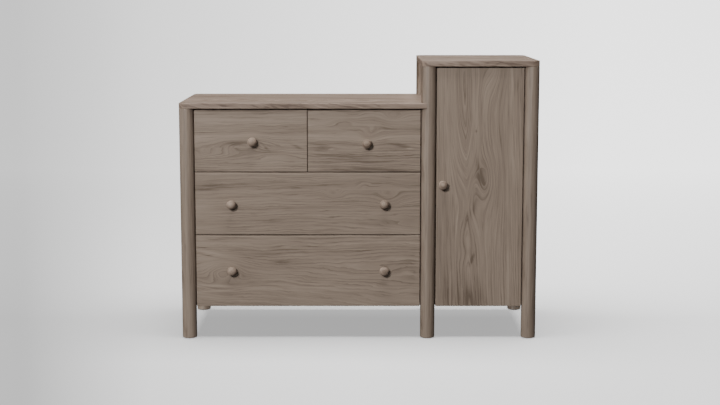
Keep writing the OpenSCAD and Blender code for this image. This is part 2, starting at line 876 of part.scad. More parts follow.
// Cranked plate on the edge of the bottom board, with its pin reaching up into the door
module bottom_pivot() {
    half = pivot_tongue_r;
    reach = cabinet_case_y + pivot_plate_t - pivot_y;
    color(steel)
        translate([pivot_x, pivot_y, pivot_tongue_z]) {
            cylinder(r = half, h = pivot_plate_t);
            translate([-half, 0, 0])
                cube([2 * half, reach, pivot_plate_t]);
            translate([half - pivot_plate_l, reach - pivot_plate_t, 0])
                cube([pivot_plate_l, pivot_plate_t, pivot_flange_h]);
            cylinder(d = pivot_pin_d, h = pivot_plate_t + pivot_gap + pivot_bush_l - 2);
        }
}

// Catch screwed up under the rail at the free edge of the door
module magnetic_catch() {
    y0 = fronts_back_y + strike_t + catch_gap;
    color(nylon)
        difference() {
            span([catch_x0, y0, catch_z0], [catch_x0 + catch_w, y0 + catch_d, cabinet_rail_z]);
            translate([catch_x0 + 4, y0 - cut, catch_z0 + 3])
                cube([catch_w - 8, 1.5 + cut, catch_h - 6]);
        }
}

module strike_plate() {
    color(steel)
        span(
            [catch_x0 + strike_edge, fronts_back_y, catch_z0 + strike_edge],
            [catch_x0 + catch_w - strike_edge, fronts_back_y + strike_t, cabinet_rail_z - strike_edge]
        );
}

// Nailed-on glide under each post that reaches the floor
module foot_glides() {
    places = [
        [left_post_x, front_post_y], [centre_post_x, front_post_y], [right_post_x, front_post_y],
        [left_post_x, rear_post_y], [right_post_x, rear_post_y]
    ];
    color(nylon)
        for (p = places)
            translate([p[0], p[1], 0]) {
                cylinder(d1 = glide_d - 2, d2 = glide_d, h = glide_t);
                cylinder(d = glide_stem_d, h = glide_t + glide_stem_l - 1);
            }
}

front_left_post();
front_centre_post();
front_right_post();
rear_left_post();
rear_centre_post();
rear_right_post();
chest_top();
cabinet_top();
left_side_panel();
centre_partition();
right_side_panel();
chest_back_panel();
cabinet_back_panel();
chest_bottom_panel();
cabinet_bottom_panel();
drawer_divider_shelf();
small_drawer_divider();
chest_cross_rails();
cabinet_top_rail();
cabinet_lower_shelf();
cabinet_upper_shelf();
shelf_pins();
slide_cleats();
case_slide_members();
top_pivot();
bottom_pivot();
magnetic_catch();
foot_glides();
small_left_drawer_front();
small_left_drawer_sides();
small_left_drawer_back();
small_left_drawer_bottom();
small_left_drawer_knob();
small_left_drawer_runners();
small_right_drawer_front();
small_right_drawer_sides();
small_right_drawer_back();
small_right_drawer_bottom();
small_right_drawer_knob();
small_right_drawer_runners();
middle_drawer_front();
middle_drawer_sides();
middle_drawer_back();
middle_drawer_bottom();
middle_drawer_knobs();
middle_drawer_runners();
bottom_drawer_front();
bottom_drawer_sides();
bottom_drawer_back();
bottom_drawer_bottom();
bottom_drawer_knobs();
bottom_drawer_runners();
small_left_slide_middles();
small_right_slide_middles();
middle_slide_middles();
bottom_slide_middles();
door_panel();
door_knob();
door_pivot_bushes();
strike_plate();
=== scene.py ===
"""Looks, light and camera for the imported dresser. Metres, +Z up, +X right, +Y back."""

import math

import bpy
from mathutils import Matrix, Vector


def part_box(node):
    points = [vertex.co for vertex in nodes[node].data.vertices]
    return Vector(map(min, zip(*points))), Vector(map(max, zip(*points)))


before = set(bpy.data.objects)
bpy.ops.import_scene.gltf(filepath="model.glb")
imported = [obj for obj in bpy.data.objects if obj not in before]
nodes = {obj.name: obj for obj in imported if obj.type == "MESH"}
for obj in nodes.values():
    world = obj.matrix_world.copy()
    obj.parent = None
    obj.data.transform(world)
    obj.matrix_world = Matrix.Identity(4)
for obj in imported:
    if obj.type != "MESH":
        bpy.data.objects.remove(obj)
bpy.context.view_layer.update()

AXES = {"X": 0, "Y": 1, "Z": 2}
DRAWERS = ("small_left", "small_right", "middle", "bottom")


# Node trees
class Tree:
    """A new material, with short calls for building its node tree."""

    def __init__(self, name):
        self.material = bpy.data.materials.new(name)
        self.material.use_nodes = True
        self.tree = self.material.node_tree
        self.tree.nodes.clear()

    def add(self, kind, **props):
        node = self.tree.nodes.new(kind)
        for key, value in props.items():
            setattr(node, key, value)
        return node

    def put(self, socket, value):
        if value is None:
            return
        if isinstance(value, bpy.types.NodeSocket):
            self.tree.links.new(value, socket)
        else:
            socket.default_value = value

    def place(self):
        """Place in the object's own coordinates, which are the frame's metres."""
        return self.add("ShaderNodeTexCoord").outputs["Object"]

    def math(self, op, a, b=None, c=None, clamp=False):
        node = self.add("ShaderNodeMath", operation=op, use_clamp=clamp)
        for socket, value in zip(node.inputs, (a, b, c)):
            self.put(socket, value)
        return node.outputs[0]

    def centred(self, value, factor, base):
        """base, raised or lowered by a noise around its middle value, times factor."""
        return self.math("MULTIPLY_ADD", self.math("SUBTRACT", value, 0.5), factor, base)

    def vec(self, op, a, b=None):
        node = self.add("ShaderNodeVectorMath", operation=op)
        self.put(node.inputs[0], a)
        self.put(node.inputs[1], b)
        return node.outputs[1] if op in ("LENGTH", "DOT_PRODUCT") else node.outputs[0]

    def xyz(self, x, y, z):
        node = self.add("ShaderNodeCombineXYZ")
        for socket, value in zip(node.inputs, (x, y, z)):
            self.put(socket, value)
        return node.outputs[0]

    def parts(self, vector):
        node = self.add("ShaderNodeSeparateXYZ")
        self.put(node.inputs[0], vector)
        return node.outputs[0], node.outputs[1], node.outputs[2]

    def noise(self, vector, stretch=None, scale=1.0, detail=2.0, rough=0.5, color=False):
        """Noise over a place, which is multiplied by stretch first where that is given."""
        if stretch:
            vector = self.vec("MULTIPLY", vector, stretch)
        node = self.add("ShaderNodeTexNoise", noise_dimensions="3D")
        self.put(node.inputs["Vector"], vector)
        return self.set_noise(node, scale, detail, rough).outputs["Color" if color else "Fac"]

    def line_noise(self, value, scale, detail, rough):
        """Noise along one number."""
        node = self.add("ShaderNodeTexNoise", noise_dimensions="1D")
        self.put(node.inputs["W"], value)
        return self.set_noise(node, scale, detail, rough).outputs["Fac"]

    def set_noise(self, node, scale, detail, rough):
        """Sets how fine and how rough the noise is."""
        self.put(node.inputs["Scale"], scale)
        self.put(node.inputs["Detail"], detail)
        self.put(node.inputs["Roughness"], rough)
        return node

    def remap(self, value, a, b, c=0.0, d=1.0, smooth=False):
        node = self.add("ShaderNodeMapRange", interpolation_type="SMOOTHSTEP" if smooth else "LINEAR")
        node.clamp = True
        self.put(node.inputs[0], value)
        for i, v in enumerate((a, b, c, d)):
            self.put(node.inputs[i + 1], v)
        return node.outputs[0]

    def mix(self, fac, a, b):
        node = self.add("ShaderNodeMix", data_type="RGBA")
        self.put(node.inputs["Factor"], fac)
        sockets = [s for s in node.inputs if s.type == "RGBA"]
        self.put(sockets[0], a)
        self.put(sockets[1], b)
        return [s for s in node.outputs if s.type == "RGBA"][0]

    def surface(self, color, roughness, height, relief, depth, **levels):
        """The material with a principled surface, bumped by height, and further levels by their names."""
        shader = self.add("ShaderNodeBsdfPrincipled")
        self.put(shader.inputs["Base Color"], color)
        self.put(shader.inputs["Roughness"], roughness)
        for key, value in levels.items():
            shader.inputs[key.replace("_", " ")].default_value = value
        bump = self.add("ShaderNodeBump")
        bump.inputs["Strength"].default_value = relief
        bump.inputs["Distance"].default_value = depth
        self.put(bump.inputs["Height"], height)
        self.put(shader.inputs["Normal"], bump.outputs[0])
        self.output(shader)
        return self.material

    def output(self, shader):
        node = self.add("ShaderNodeOutputMaterial")
        self.put(node.inputs["Surface"], shader.outputs[0])


# Colours, as linear red, green and blue
OAK_LIGHT = (0.35, 0.274, 0.2145)
OAK_DARK = (0.145, 0.106, 0.077)
INNER_LIGHT = (0.28, 0.22, 0.18)
STEEL = (0.62, 0.63, 0.64)
FITTING_STEEL = (0.58, 0.585, 0.59)
BRASS = (0.74, 0.56, 0.27)
PALE_PLASTIC = (0.72, 0.70, 0.66)
BROWN_PLASTIC = (0.30, 0.26, 0.22)

# Noises of the wood, in cells per metre: along the grain, then both ways across it
SLOW_WANDER = (1.6, 6.0, 6.0)
FINE_RIPPLE = (9.0, 30.0, 30.0)
RING_FADE = (3.0, 16.0, 16.0)
LONG_STREAKS = (2.6, 75.0, 75.0)
HAIRLINES = (6.0, 190.0, 190.0)
FIBRES = (14.0, 620.0, 620.0)
FLECKS = (10.0, 210.0, 210.0)
TONE_PATCHES = (1.9, 7.0, 7.0)

# How far the pattern moves for each unit of the seed, and past a seam between two glued boards
SEED_STEP = (1.7, 0.61, 0.37)
BOARD_STEP = (1.37, 0.033, 0.061)

# How far knots and marks are pulled out of shape along and across the grain
KNOT_WANDER = 0.05
KNOT_RIPPLE = 0.008

# Growth rings: how many make a broad band, and how many rings the band's noise moves them
BAND_RINGS = 4.5
BAND_PULL = 3.0

# Late wood: power that makes its line thin, and its mean
LATE_SHARPNESS = 3.0
LATE_MEAN = 0.16

# How far streaks change round a ring, against how far they change from ring to ring
FLOW_SPREAD = 0.06

# Lowest and highest of a noise that become 0 and 1, or the two numbers that follow them
RING_FADE_RANGE = (0.36, 0.62, 0.15, 1.0)
FLECK_RANGE = (0.58, 0.72)
TORN_RANGE = (0.85, 1.15, 1.25, 0.35)
CLOUD_RANGE = (0.3, 0.7)

# Share of the light colour where nothing else is, and how strongly each noise moves it
MID_TONE = 0.60
BAND_TONE = 1.3
STREAK_TONE = 1.6
FIBRE_TONE = 0.35
PATCH_TONE = 1.8

# Drawing lines of the metal, in cells per metre across and along them
LINES_ACROSS = 900.0
LINES_ALONG = 12.0

# How far the wood's roughness changes from hairlines to fibres
ROUGH_CHANGE = 0.2

# Relief of the wood: shares of late wood, fibres and flecks in it, its strength and its depth
LATE_RELIEF = -0.3
FIBRE_RELIEF = 0.7
FLECK_RELIEF = -0.5
WOOD_RELIEF = 0.25
WOOD_DEPTH = 0.0006

# Depth of the relief on metal and plastic
FINE_DEPTH = 0.0002


# Wood
class Board:
    """Places on a board, in metres: run along the grain, span over the width, deep in the thickness."""

    def __init__(self, t, grain, across, seed, joints):
        self.t = t
        xyz = t.parts(t.place())
        third = ({"X", "Y", "Z"} - {grain, across}).pop()
        face_run, face_span = xyz[AXES[grain]], xyz[AXES[across]]
        places = [face_run, face_span, xyz[AXES[third]]]
        self.share = MID_TONE
        for seam, shade in joints:
            beyond = t.math("GREATER_THAN", face_span, seam)
            places = [t.math("MULTIPLY_ADD", beyond, step, v) for v, step in zip(places, BOARD_STEP)]
            self.share = t.math("MULTIPLY_ADD", beyond, shade, self.share)
        self.run, self.span, self.deep = places
        self.log = t.vec("ADD", t.xyz(*places), tuple(seed * step for step in SEED_STEP))
        self.slow = t.parts(t.noise(self.log, SLOW_WANDER, color=True))
        self.fine = t.parts(t.noise(self.log, FINE_RIPPLE, detail=3.0, rough=0.6, color=True))
        self.wavy_run = t.centred(self.slow[2], KNOT_WANDER, face_run)
        self.wavy_span = t.centred(self.fine[0], KNOT_RIPPLE, face_span)

    def bell(self, along, over, half_l, half_w, slant=0.0):
        """Soft spot: 1 at its middle, falling to nothing past its half length and half width."""
        t = self.t
        run = t.math("SUBTRACT", self.wavy_run, along)
        span = t.math("MULTIPLY_ADD", run, -slant, t.math("SUBTRACT", self.wavy_span, over))
        off = t.vec("DIVIDE", t.xyz(run, span, 0.0), (half_l, half_w, 1.0))
        return t.math("POWER", math.e, t.math("MULTIPLY", t.vec("DOT_PRODUCT", off, off), -1.0))

    def from_pith(self, pith, lean, tilt, wander, ripple):
        """How far over the width and how far in depth the bent grain lies from the pith line."""
        t = self.t

        def bent(value, slow, fine):
            return t.centred(fine, ripple * 2.0, t.centred(slow, wander * 2.0, value))

        pith_span = t.math("MULTIPLY_ADD", self.run, lean, pith[0])
        pith_deep = t.math("MULTIPLY_ADD", self.run, tilt, pith[1])
        span = t.math("SUBTRACT", bent(self.span, self.slow[0], self.fine[0]), pith_span)
        deep = t.math("SUBTRACT", bent(self.deep, self.slow[1], self.fine[1]), pith_deep)
        return span, deep

    def radius(self, span, deep, eyes, knots):
        """Distance from the pith line, changed round eyes and knots."""
        t = self.t
        squares = t.math("ADD", t.math("MULTIPLY", span, span), t.math("MULTIPLY", deep, deep))
        radius = t.math("SQRT", squares)
        for along, over, half_l, half_w, part in eyes:
            beside = t.math("SUBTRACT", self.wavy_span, over)
            near = t.math("MULTIPLY", self.bell(along, over, half_l, half_w), beside)
            radius = t.math("MULTIPLY_ADD", near, -part, radius)
        for along, over, half_l, half_w, push in knots:
            radius = t.math("MULTIPLY_ADD", self.bell(along, over, half_l, half_w), push, radius)
        return radius

    def rings(self, radius, ring):
        """Broad bands, and pale early wood that darkens to a thin sharp line of late wood."""
        t = self.t
        band = t.line_noise(radius, scale=1.0 / (ring * BAND_RINGS), detail=2.0, rough=0.6)
        turn = t.math("MULTIPLY_ADD", band, BAND_PULL, t.math("DIVIDE", radius, ring))
        late = t.math("POWER", t.math("FRACT", turn), LATE_SHARPNESS)
        fade = t.remap(t.noise(self.log, RING_FADE), *RING_FADE_RANGE)
        return band, t.math("MULTIPLY", late, fade)


def wood(
    name, grain, across, seed, light=OAK_LIGHT, dark=OAK_DARK,
    pith=(0.0, 0.16), lean=0.0, tilt=0.02, ring=0.009, wander=0.02, ripple=0.009,
    rings=0.5, hair=0.8, streaks=0.40, fleck=0.3, tone=0.3,
    eyes=(), knots=(), joints=(), marks=(), rough=0.55, spec=0.35,
):
    """Wood cut from a log: rings round a pith line along the grain, bent by noise and knots.

    grain and across name the frame's axes along the grain and over the width of the face. pith gives
    where the log's middle lies over the width and in depth, lean how fast it drifts over the width along
    the grain, tilt how fast it drifts in depth, and ring the usual width of a growth ring. wander and
    ripple are the reach of the slow and the fine bends. rings, hair, streaks, fleck and tone say how
    strongly each kind of line or patch shows. knots are (along, across, half length, half width, push).
    In eyes the last number is how far the lines part above and below instead, up to 1. joints are
    (across, tone) of the seams between glued boards, the tone for the board beyond it. marks are darker
    spots or, below zero, lighter ones, for stains and figure and also for painted shade and painted
    highlights: (along, across, half length, half width, depth, slant). All lengths are in metres.
    """
    t = Tree(name)
    board = Board(t, grain, across, seed, joints)
    span, deep = board.from_pith(pith, lean, tilt, wander, ripple)
    radius = board.radius(span, deep, eyes, knots)
    band, late = board.rings(radius, ring)

    # streaks, hairlines and flecks that follow the rings, and fine fibres
    round_ring = t.math("MULTIPLY", t.math("ADD", span, deep), FLOW_SPREAD)
    flow = t.xyz(t.math("ADD", board.run, seed * SEED_STEP[0]), radius, round_ring)
    streak = t.noise(flow, LONG_STREAKS, detail=3.0, rough=0.65)
    hairline = t.noise(flow, HAIRLINES, rough=0.6)
    flecks = t.remap(t.noise(flow, FLECKS), *FLECK_RANGE)
    fibre = t.noise(board.log, FIBRES, detail=3.0, rough=0.6)

    # share of the light colour, with the slow change of tone and the marks, which hold stains and figure and
    # also painted shade and painted highlights
    share = t.math("MULTIPLY_ADD", t.math("SUBTRACT", late, LATE_MEAN), -rings, board.share)
    share = t.centred(band, rings * BAND_TONE, share)
    share = t.centred(streak, streaks * STREAK_TONE, share)
    share = t.centred(hairline, hair, share)
    share = t.centred(fibre, FIBRE_TONE, share)
    share = t.centred(t.noise(board.log, TONE_PATCHES), tone * PATCH_TONE, share)
    share = t.math("MULTIPLY_ADD", flecks, -fleck, share)
    if marks:
        torn = t.remap(t.math("ADD", streak, hairline), *TORN_RANGE)
        for along, over, half_l, half_w, depth, slant in marks:
            spot = t.math("MULTIPLY", board.bell(along, over, half_l, half_w, slant), torn)
            share = t.math("MULTIPLY_ADD", spot, -depth, share)
    share = t.math("ADD", share, 0.0, clamp=True)

    height = t.math("MULTIPLY_ADD", late, LATE_RELIEF, t.math("MULTIPLY", fibre, FIBRE_RELIEF))
    return t.surface(
        color=t.mix(share, (*dark, 1.0), (*light, 1.0)),
        roughness=t.math("MULTIPLY_ADD", t.math("SUBTRACT", fibre, hairline), ROUGH_CHANGE, rough),
        height=t.math("MULTIPLY_ADD", flecks, FLECK_RELIEF, height),
        relief=WOOD_RELIEF, depth=WOOD_DEPTH, Specular_IOR_Level=spec,
    )


# Metal and plastic
def shades(base, low, high):
    """A darker and a lighter colour, as multiples of the base."""
    return [tuple(min(1.0, c * k) for c in base) + (1.0,) for k in (low, high)]


def metal(name, base, rough=0.34, streak_axis="Y"):
    """Sheet steel or brass: fine drawing lines along one axis, faint cloudy tone, worn gloss."""
    t = Tree(name)
    place = t.place()
    stretch = [LINES_ACROSS] * 3
    stretch[AXES[streak_axis]] = LINES_ALONG
    lines = t.noise(place, tuple(stretch), detail=3.0, rough=0.6)
    cloud = t.noise(place, scale=38.0, detail=4.0, rough=0.6)
    mean = t.math("ADD", t.math("MULTIPLY", lines, 0.5), t.math("MULTIPLY", cloud, 0.5))
    return t.surface(
        color=t.mix(t.remap(mean, *CLOUD_RANGE), *shades(base, 0.78, 1.12)),
        roughness=t.centred(cloud, 0.3, rough),
        height=lines, relief=0.15, depth=FINE_DEPTH, Metallic=1.0,
    )


def plastic(name, base):
    """Moulded plastic with a fine pebbled skin and a slightly uneven tone."""
    t = Tree(name)
    place = t.place()
    pebble = t.noise(place, scale=1800.0, detail=2.0)
    cloud = t.noise(place, scale=60.0, detail=3.0)
    return t.surface(
        color=t.mix(t.remap(cloud, *CLOUD_RANGE), *shades(base, 0.86, 1.05)),
        roughness=t.math("MULTIPLY_ADD", pebble, 0.2, 0.35),
        height=pebble, relief=0.2, depth=FINE_DEPTH,
    )


# Dressing of the pieces
def dress(material, *names):
    """Gives the named nodes the material."""
    for name in names:
        mesh = nodes[name].data
        mesh.materials.clear()
        mesh.materials.append(material)


def edge_shadow_and_highlight(z, half_w, dark, light=0.0):
    """Painted shadow along the whole top edge of a front at the height z, at the arris, then, where light is
    given, a painted highlight line below it.
    """
    reach = 4.0
    marks = [(0.0, z - 0.001, reach, half_w, dark, 0.0)]
    if light:
        marks.append((0.0, z - 0.0048, reach, 0.0018, -light, 0.0))
    return marks


# Heights of the drawer fronts' top edges
SMALL_TOP = 0.8725
MIDDLE_TOP = 0.6375
BOTTOM_TOP = 0.398

# Drawer fronts and door; the fronts carry a painted shadow along their top edges, the middle and bottom ones
# also a painted highlight line below it
dress(
    wood(
        "small_left_front_wood", "X", "Z", 3.1, pith=(0.30, -0.45), tilt=0.03,
        joints=[(0.731, 0.04)], tone=0.2,
        knots=[(-0.425, 0.744, 0.090, 0.030, -0.034), (-0.640, 0.704, 0.130, 0.020, 0.030),
               (-0.300, 0.700, 0.080, 0.014, -0.016)],
        marks=[(-0.438, 0.747, 0.038, 0.008, 1.10, 0.0), (-0.352, 0.740, 0.020, 0.006, 0.60, -0.9),
               (-0.318, 0.738, 0.035, 0.004, 0.30, -0.15), (-0.232, 0.735, 0.026, 0.006, 0.50, -0.45),
               (-0.400, 0.833, 0.300, 0.005, -0.30, -0.02), (-0.630, 0.780, 0.060, 0.040, -0.22, 0.0),
               *edge_shadow_and_highlight(SMALL_TOP, 0.005, 0.60)],
    ),
    "small_left_drawer_front",
)
dress(
    wood(
        "small_right_front_wood", "X", "Z", 7.7, pith=(0.36, -0.50), tilt=-0.02,
        joints=[(0.755, 0.08)], tone=0.25,
        eyes=[(0.036, 0.795, 0.060, 0.045, 0.6)],
        knots=[(0.036, 0.790, 0.030, 0.026, 0.012), (0.120, 0.845, 0.040, 0.016, 0.020),
               (-0.060, 0.828, 0.050, 0.014, -0.018), (-0.020, 0.850, 0.030, 0.020, 0.008)],
        marks=[(-0.133, 0.737, 0.040, 0.008, 0.60, -0.12), (0.141, 0.740, 0.045, 0.007, 0.60, -0.15),
               (-0.100, 0.726, 0.012, 0.003, -0.60, 0.0), (0.185, 0.728, 0.014, 0.003, -0.60, 0.0),
               (0.080, 0.648, 0.140, 0.004, 0.50, -0.04), (-0.100, 0.650, 0.060, 0.004, 0.45, -0.10),
               (0.050, 0.680, 0.120, 0.004, 0.40, 0.0), (-0.090, 0.705, 0.070, 0.004, 0.40, 0.0),
               (0.040, 0.690, 0.400, 0.045, 0.14, 0.0),
               *edge_shadow_and_highlight(SMALL_TOP, 0.005, 0.70)],
    ),
    "small_right_drawer_front",
)
dress(
    wood(
        "middle_front_wood", "X", "Z", 12.4, pith=(0.10, -0.46), tilt=0.02, rings=0.4, hair=0.6,
        joints=[(0.569, -0.04)], tone=0.2,
        eyes=[(0.112, 0.553, 0.060, 0.040, 0.7), (0.026, 0.592, 0.040, 0.030, 0.6)],
        knots=[(0.112, 0.553, 0.042, 0.026, 0.020), (0.026, 0.590, 0.026, 0.020, -0.012),
               (-0.095, 0.553, 0.035, 0.016, 0.020), (0.260, 0.429, 0.200, 0.026, 0.034)],
        marks=[(-0.575, 0.572, 0.055, 0.003, 0.80, 0.0), (-0.56, 0.587, 0.060, 0.012, 0.25, 0.05),
               (-0.255, 0.573, 0.060, 0.010, 0.35, 0.0), (-0.595, 0.520, 0.045, 0.060, -0.20, 0.0),
               (0.140, 0.427, 0.090, 0.014, -0.16, 0.0),
               *edge_shadow_and_highlight(MIDDLE_TOP, 0.0022, 0.72, 0.70)],
    ),
    "middle_drawer_front",
)
dress(
    wood(
        "bottom_front_wood", "X", "Z", 21.9, pith=(-0.12, -0.50), tilt=-0.05,
        joints=[(0.345, -0.03)], tone=0.25,
        eyes=[(-0.522, 0.248, 0.100, 0.060, 0.95), (0.230, 0.240, 0.330, 0.150, 0.40)],
        knots=[(-0.522, 0.248, 0.050, 0.034, -0.036), (0.02, 0.262, 0.120, 0.020, 0.012)],
        marks=[(-0.535, 0.381, 0.030, 0.003, 0.60, 0.0), (-0.290, 0.355, 0.060, 0.010, 0.35, 0.0),
               (-0.210, 0.352, 0.090, 0.004, 0.45, 0.08), (-0.265, 0.352, 0.014, 0.004, -0.50, 0.0),
               (-0.310, 0.295, 0.045, 0.005, 0.30, 0.0), (0.190, 0.292, 0.035, 0.009, 0.40, 0.1),
               (-0.070, 0.196, 0.300, 0.004, -0.40, 0.0), (-0.020, 0.186, 0.220, 0.003, -0.30, 0.0),
               (-0.590, 0.320, 0.080, 0.120, -0.30, 0.0), (-0.550, 0.204, 0.060, 0.004, -0.60, -0.05),
               (-0.571, 0.320, 0.045, 0.003, 0.60, -0.20), (-0.575, 0.333, 0.050, 0.003, -0.50, -0.18),
               (-0.580, 0.348, 0.050, 0.003, 0.45, -0.12), (-0.550, 0.192, 0.070, 0.003, 0.55, -0.05),
               (-0.540, 0.182, 0.070, 0.003, -0.50, 0.05),
               *edge_shadow_and_highlight(BOTTOM_TOP, 0.0022, 0.50, 0.75)],
    ),
    "bottom_drawer_front",
)
dress(
    wood(
        "door_wood", "Z", "X", 31.3, pith=(0.424, -0.2565), lean=-0.03, tilt=0.0,
        ring=0.0085, rings=0.42, wander=0.004, ripple=0.004, hair=0.9, tone=0.35,
        knots=[(0.540, 0.415, 0.160, 0.050, 0.042), (0.200, 0.415, 0.200, 0.050, 0.018),
               (0.950, 0.390, 0.250, 0.050, -0.045), (0.620, 0.478, 0.090, 0.030, -0.027),
               (0.600, 0.520, 0.160, 0.040, -0.020), (1.050, 0.505, 0.110, 0.045, -0.055),
               (0.330, 0.405, 0.040, 0.030, 0.008), (0.797, 0.440, 0.014, 0.007, 0.006)],
        marks=[(0.797, 0.440, 0.005, 0.004, 0.90, 0.0), (0.640, 0.458, 0.055, 0.010, 0.55, -0.25),
               (0.614, 0.461, 0.022, 0.010, 1.20, -0.35), (0.500, 0.430, 0.040, 0.012, 0.55, 0.3),
               (0.306, 0.428, 0.022, 0.005, 0.90, 0.35), (0.150, 0.400, 0.080, 0.085, 0.45, 0.0),
               (0.150, 0.410, 0.050, 0.006, 0.50, 0.0), (0.230, 0.566, 0.110, 0.005, -0.50, 0.0),
               (0.800, 0.444, 0.130, 0.012, -0.25, -0.10), (0.980, 0.572, 0.060, 0.004, -0.50, -0.06),
               (0.960, 0.590, 0.030, 0.010, 0.35, 0.0), (0.930, 0.350, 0.200, 0.060, -0.12, 0.0)],
    ),
    "door_panel",
)

# Tops, with dark streaks on their front edges
TOPS = dict(
    lean=-0.14, tilt=0.0, rings=0.8, hair=1.2, streaks=1.0, tone=0.55,
    light=(0.362, 0.272, 0.2145), dark=(0.150, 0.105, 0.077),
)
dress(
    wood(
        "chest_top_wood", "X", "Z", 41.2, pith=(0.70, -0.1), **TOPS,
        marks=[(-0.635, 0.887, 0.030, 0.0040, 0.43, 0.0), (-0.507, 0.887, 0.012, 0.0045, 0.68, -0.2),
               (-0.395, 0.886, 0.013, 0.0040, 0.56, -0.4), (-0.353, 0.886, 0.013, 0.0040, 0.56, -0.4),
               (-0.321, 0.885, 0.014, 0.0040, 0.68, -0.4), (-0.278, 0.885, 0.014, 0.0040, 0.68, -0.4),
               (-0.215, 0.886, 0.013, 0.0035, 0.43, -0.4), (-0.033, 0.886, 0.045, 0.0040, 0.62, 0.0),
               (0.079, 0.885, 0.013, 0.0040, 0.50, -0.4), (-0.250, 0.885, 2.0, 0.009, 0.13, 0.0),
               (0.225, 0.900, 0.055, 0.006, -0.60, 0.0)],
    ),
    "chest_top",
)
dress(
    wood(
        "cabinet_top_wood", "X", "Z", 47.5, pith=(0.86, 0.05), **TOPS,
        marks=[(0.254, 1.043, 0.014, 0.0045, 0.62, -0.3), (0.305, 1.043, 0.014, 0.0045, 0.68, -0.4),
               (0.341, 1.043, 0.014, 0.0045, 0.68, -0.4), (0.378, 1.042, 0.012, 0.0040, 0.62, -0.4),
               (0.468, 1.044, 0.013, 0.0045, 0.56, 0.2), (0.509, 1.042, 0.012, 0.0045, 0.56, 0.4),
               (0.561, 1.041, 0.013, 0.0040, 0.50, -0.4), (0.440, 1.043, 2.0, 0.009, 0.22, 0.0)],
    ),
    "cabinet_top",
)

# Posts, with painted shade down the left sides of the centre ones
POST = dict(tilt=0.004, ring=0.004, wander=0.006, ripple=0.002, rings=0.3, rough=0.48, spec=0.6)
POST_RIM_SHADE = {
    "rear_centre_post": [(0.97, 0.2382, 0.40, 0.0028, 2.20, 0.0), (0.97, 0.2520, 0.40, 0.0030, 0.60, 0.0)],
    "front_centre_post": [(0.97, 0.2360, 0.10, 0.0035, 0.80, 0.0)],
}
for i, n in enumerate(n for n in nodes if n.endswith("_post")):
    lo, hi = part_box(n)
    pith = ((lo.x + hi.x) / 2 + 0.09, (lo.y + hi.y) / 2 + 0.05)
    marks = POST_RIM_SHADE.get(n, ())
    dress(wood("post_wood_%d" % i, "Z", "X", 51.0 + 3.3 * i, pith=pith, marks=marks, **POST), n)

# Case
dress(wood("left_side_wood", "Z", "Y", 81.0, pith=(0.05, -0.9), tilt=0.05), "left_side_panel")
dress(wood("partition_wood", "Z", "Y", 85.0, pith=(-0.05, 0.55), tilt=0.04, spec=0.12), "centre_partition")
dress(wood("right_side_wood", "Z", "Y", 89.0, pith=(0.1, 0.95), tilt=0.05), "right_side_panel")
dress(
    wood("back_wood", "Z", "X", 93.0, pith=(-0.2, 0.5), tilt=0.03, light=INNER_LIGHT),
    "chest_back_panel", "cabinet_back_panel",
)
dress(
    wood("inner_wood", "X", "Y", 97.0, pith=(0.0, -0.3), light=INNER_LIGHT),
    "chest_bottom_panel", "cabinet_bottom_panel", "drawer_divider_shelf", "chest_cross_rails",
    "cabinet_top_rail", "cabinet_lower_shelf", "cabinet_upper_shelf",
)
dress(
    wood("cleat_wood", "Y", "Z", 101.0, pith=(0.4, -1.0), light=INNER_LIGHT),
    "small_drawer_divider", "slide_cleats",
)

# Drawer boxes
BIRCH = dict(
    light=(0.66, 0.53, 0.36), dark=(0.44, 0.32, 0.20), rings=0.35, streaks=0.35, fleck=0.2, rough=0.6,
)
for i, d in enumerate(DRAWERS):
    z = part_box(d + "_drawer_sides")[0].z
    seed = 111.0 + 5 * i
    dress(wood(d + "_side_wood", "Y", "Z", seed, pith=(z + 0.08, -0.2), **BIRCH), d + "_drawer_sides")
    dress(wood(d + "_back_wood", "X", "Z", seed + 2, pith=(z + 0.08, 0.6), **BIRCH), d + "_drawer_back")
    dress(wood(d + "_floor_wood", "X", "Y", seed + 4, pith=(0.0, z - 0.3), **BIRCH), d + "_drawer_bottom")

# Knobs, some of them darker than the rest
KNOB = dict(
    light=(0.42, 0.325, 0.258), dark=(0.20, 0.147, 0.110), rough=0.66, spec=0.2, tilt=0.01,
    ring=0.004, wander=0.004, ripple=0.002, rings=0.35, tone=0.15,
)
KNOB_MARKS = {
    "small_right_drawer_knob": [(0.036, 0.742, 0.05, 0.05, 0.30, 0.0)],
    "middle_drawer_knobs": [(-0.473, 0.510, 0.05, 0.05, 0.10, 0.0), (0.103, 0.510, 0.05, 0.05, 0.50, 0.0)],
    "bottom_drawer_knobs": [(-0.473, 0.263, 0.05, 0.05, 0.10, 0.0), (0.103, 0.263, 0.05, 0.05, 0.35, 0.0)],
    "door_knob": [(0.321, 0.590, 0.05, 0.05, 0.32, 0.0)],
}
for i, n in enumerate(n for n in nodes if "knob" in n):
    lo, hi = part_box(n)
    pith = (lo.z + 0.03, lo.y - 0.04)
    marks = KNOB_MARKS.get(n, ())
    dress(wood("knob_wood_%d" % i, "X", "Z", 141.0 + 4 * i, pith=pith, marks=marks, **KNOB), n)

# Slides and fittings
dress(
    metal("slide_steel", STEEL), "case_slide_members",
    *[d + "_slide_middles" for d in DRAWERS], *[d + "_drawer_runners" for d in DRAWERS],
)
dress(metal("fitting_steel", FITTING_STEEL, rough=0.4, streak_axis="X"),
      "shelf_pins", "top_pivot", "bottom_pivot", "strike_plate")
dress(metal("bush_brass", BRASS, rough=0.35, streak_axis="Z"), "door_pivot_bushes")
dress(plastic("pale_plastic", PALE_PLASTIC), "magnetic_catch")
dress(plastic("glide_plastic", BROWN_PLASTIC), "foot_glides")


